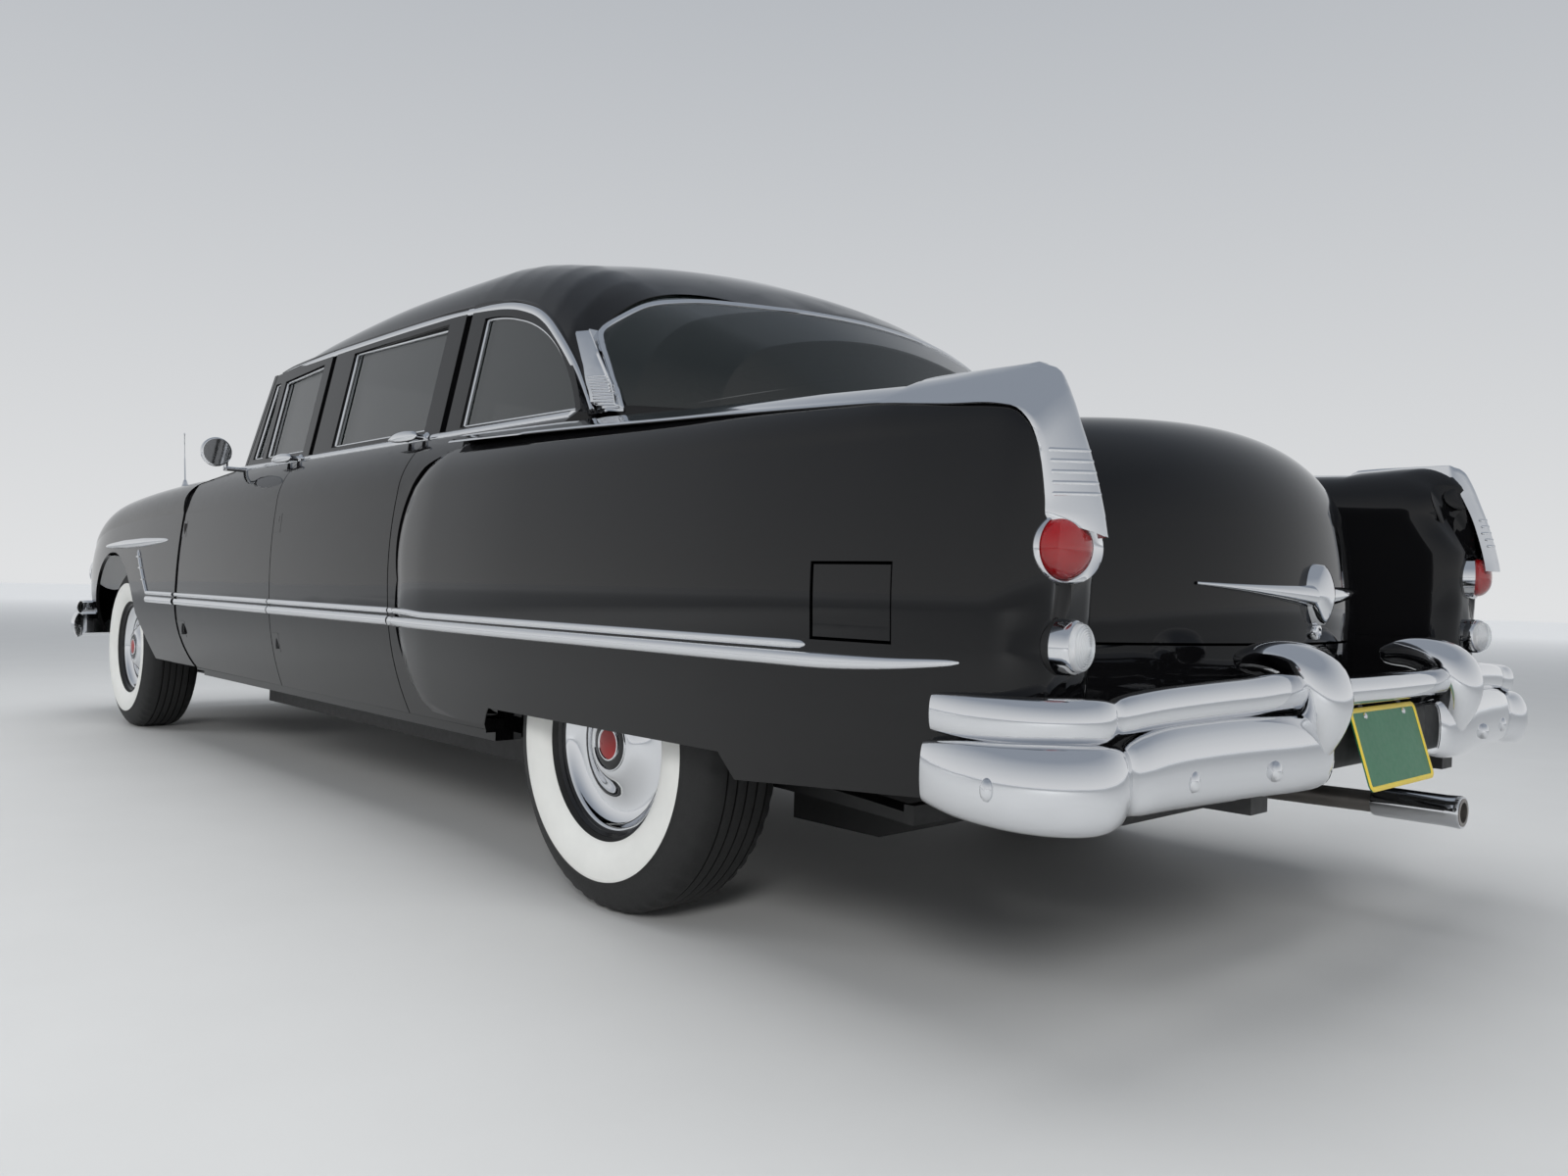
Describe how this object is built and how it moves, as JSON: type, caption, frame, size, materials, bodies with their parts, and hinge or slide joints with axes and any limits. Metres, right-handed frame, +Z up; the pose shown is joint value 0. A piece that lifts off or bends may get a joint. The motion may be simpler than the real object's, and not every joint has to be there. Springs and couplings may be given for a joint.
{
  "type": "limousine",
  "caption": "Long-wheelbase closed saloon of the early fifties with a high rounded roof, tail fins, chrome bumpers and opening doors, hood and boot.",
  "frame": {"origin": "on the ground under the middle of the car's overall length and width", "axes": "+X forward, +Y to the driver's left, +Z up"},
  "size_m": [5.9579, 1.9989, 1.6336],
  "materials": {
    "paint": "gloss black",
    "chrome": "polished",
    "clear_glass": "tinted, clear",
    "lamp_glass": "ribbed, clear",
    "red_lens": "gloss red",
    "chassis": "satin black",
    "engine": "painted grey",
    "exhaust": "dull steel",
    "seat_cloth": "woven grey-beige cloth",
    "dash": "gloss dark",
    "steering_rim": "gloss black",
    "tyre": "black with a wide white band"
  },
  "bodies": {
    "body": {"frame": "chassis", "floor": "chassis", "cowl": "paint", "front_structure": "chassis", "front_fender_left": "paint", "front_fender_right": "paint", "body_side_left": "paint", "body_side_right": "paint", "roof": "paint", "rear_fender_left": "paint", "rear_fender_right": "paint", "rear_deck": "paint", "nose_panel": "paint", "grille": "chrome", "front_bumper": "chrome", "rear_bumper": "chrome", "windscreen": "clear_glass", "rear_glass": "clear_glass", "headlamp_rings": "chrome", "headlamp_glass": "lamp_glass", "tail_lamp_housings": "chrome", "tail_lamp_lenses": "red_lens", "reversing_lamps": "lamp_glass", "fin_caps": "chrome", "front_seat": "seat_cloth", "rear_seat": "seat_cloth", "seat_base": "chassis", "instrument_panel": "dash", "steering_column": "chassis", "drivetrain": "engine", "front_suspension": "chassis", "rear_axle": "chassis", "rear_springs": "chassis", "fuel_tank": "chassis", "exhaust": "exhaust"},
    "hood": {"hood": "paint"},
    "boot_lid": {"boot_lid": "paint"},
    "fuel_door": {"fuel_door": "paint"},
    "door_front_left": {"door_front_left": "paint", "glass_front_left": "clear_glass", "mirror": "chrome"},
    "door_front_right": {"door_front_right": "paint", "glass_front_right": "clear_glass"},
    "door_rear_left": {"door_rear_left": "paint", "glass_rear_left": "clear_glass"},
    "door_rear_right": {"door_rear_right": "paint", "glass_rear_right": "clear_glass"},
    "steering_wheel": {"steering_wheel": "steering_rim"},
    "knuckle_left": {"knuckle_left": "chassis"},
    "knuckle_right": {"knuckle_right": "chassis"},
    "wheel_front_left": {"wheel_front_left": "chrome", "tyre_front_left": "tyre"},
    "wheel_front_right": {"wheel_front_right": "chrome", "tyre_front_right": "tyre"},
    "wheel_rear_left": {"wheel_rear_left": "chrome", "tyre_rear_left": "tyre"},
    "wheel_rear_right": {"wheel_rear_right": "chrome", "tyre_rear_right": "tyre"}
  },
  "joints": [
    {"name": "hood_hinge", "type": "hinge", "parent": "body", "child": "hood", "pos_m": [0.909, 0, 1.097], "axis": [0, -1, 0], "range_deg": [0, 45]},
    {"name": "boot_lid_hinge", "type": "hinge", "parent": "body", "child": "boot_lid", "pos_m": [-1.7, 0, 1.035], "axis": [0, 1, 0], "range_deg": [0, 50]},
    {"name": "fuel_door_hinge", "type": "hinge", "parent": "body", "child": "fuel_door", "pos_m": [-2.408, 0.974, 0.676], "axis": [0, 0, -1], "range_deg": [0, 80]},
    {"name": "door_front_left_hinge", "type": "hinge", "parent": "body", "child": "door_front_left", "pos_m": [1.075, 0.926, 0.67], "axis": [0, 0, -1], "range_deg": [0, 65]},
    {"name": "door_rear_left_hinge", "type": "hinge", "parent": "body", "child": "door_rear_left", "pos_m": [0.083, 0.926, 0.67], "axis": [0, 0, -1], "range_deg": [0, 65]},
    {"name": "door_front_right_hinge", "type": "hinge", "parent": "body", "child": "door_front_right", "pos_m": [1.075, -0.926, 0.67], "axis": [0, 0, 1], "range_deg": [0, 65]},
    {"name": "door_rear_right_hinge", "type": "hinge", "parent": "body", "child": "door_rear_right", "pos_m": [0.083, -0.926, 0.67], "axis": [0, 0, 1], "range_deg": [0, 65]},
    {"name": "steer_left", "type": "hinge", "parent": "body", "child": "knuckle_left", "pos_m": [2.11, 0.655, 0.355], "axis": [0, 0, 1], "range_deg": [-32, 32]},
    {"name": "steer_right", "type": "hinge", "parent": "body", "child": "knuckle_right", "pos_m": [2.11, -0.655, 0.355], "axis": [0, 0, 1], "range_deg": [-32, 32]},
    {"name": "steering_wheel_turn", "type": "hinge", "parent": "body", "child": "steering_wheel", "pos_m": [0.43, 0.4, 0.905], "axis": [-0.848, 0, 0.5299], "range_deg": [-481, 481]},
    {"name": "wheel_front_left_spin", "type": "hinge", "parent": "knuckle_left", "child": "wheel_front_left", "pos_m": [2.11, 0.765, 0.355], "axis": [0, 1, 0], "continuous": true},
    {"name": "wheel_rear_left_spin", "type": "hinge", "parent": "body", "child": "wheel_rear_left", "pos_m": [-1.675, 0.782, 0.355], "axis": [0, 1, 0], "continuous": true},
    {"name": "wheel_front_right_spin", "type": "hinge", "parent": "knuckle_right", "child": "wheel_front_right", "pos_m": [2.11, -0.765, 0.355], "axis": [0, 1, 0], "continuous": true},
    {"name": "wheel_rear_right_spin", "type": "hinge", "parent": "body", "child": "wheel_rear_right", "pos_m": [-1.675, -0.782, 0.355], "axis": [0, 1, 0], "continuous": true}
  ],
  "couplings": [
    {"joint": "steer_right", "follows": "steer_left", "ratio": 1},
    {"joint": "steering_wheel_turn", "follows": "steer_left", "ratio": 15}
  ]
}
